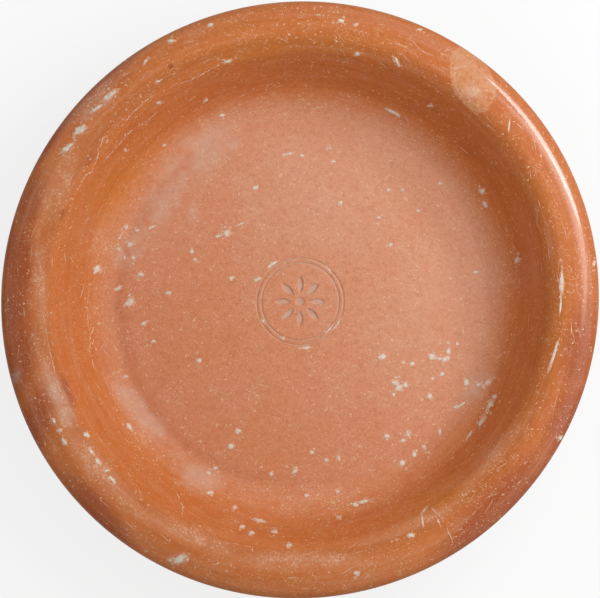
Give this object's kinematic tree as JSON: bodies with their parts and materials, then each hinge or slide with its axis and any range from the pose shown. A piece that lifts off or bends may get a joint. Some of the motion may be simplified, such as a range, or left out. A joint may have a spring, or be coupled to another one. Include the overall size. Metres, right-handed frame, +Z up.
{
  "type": "terra sigillata bowl",
  "caption": "Round red-gloss pottery bowl with a lip that curves over and down, a wall that sweeps up steeply, a slightly domed floor with a ring-framed rosette, and a turned foot ring.",
  "frame": {"origin": "on the bowl's axis, in the plane that the foot ring rests on", "axes": "+Z up along the bowl's axis; +X to the right and +Y to the top of the picture, which looks straight down"},
  "size_m": [0.19, 0.19, 0.04],
  "materials": {
    "clay": "fired, matt, pale orange-buff clay",
    "slip_worn": "worn, softly glossy orange-red slip with lime deposits and scratches",
    "slip": "softly glossy red slip"
  },
  "bodies": {
    "root": {"floor": "clay", "wall": "clay", "rim": "clay", "foot_ring": "clay", "slip_inside": "slip_worn", "slip_outside": "slip", "slip_base": "slip"}
  },
  "joints": []
}
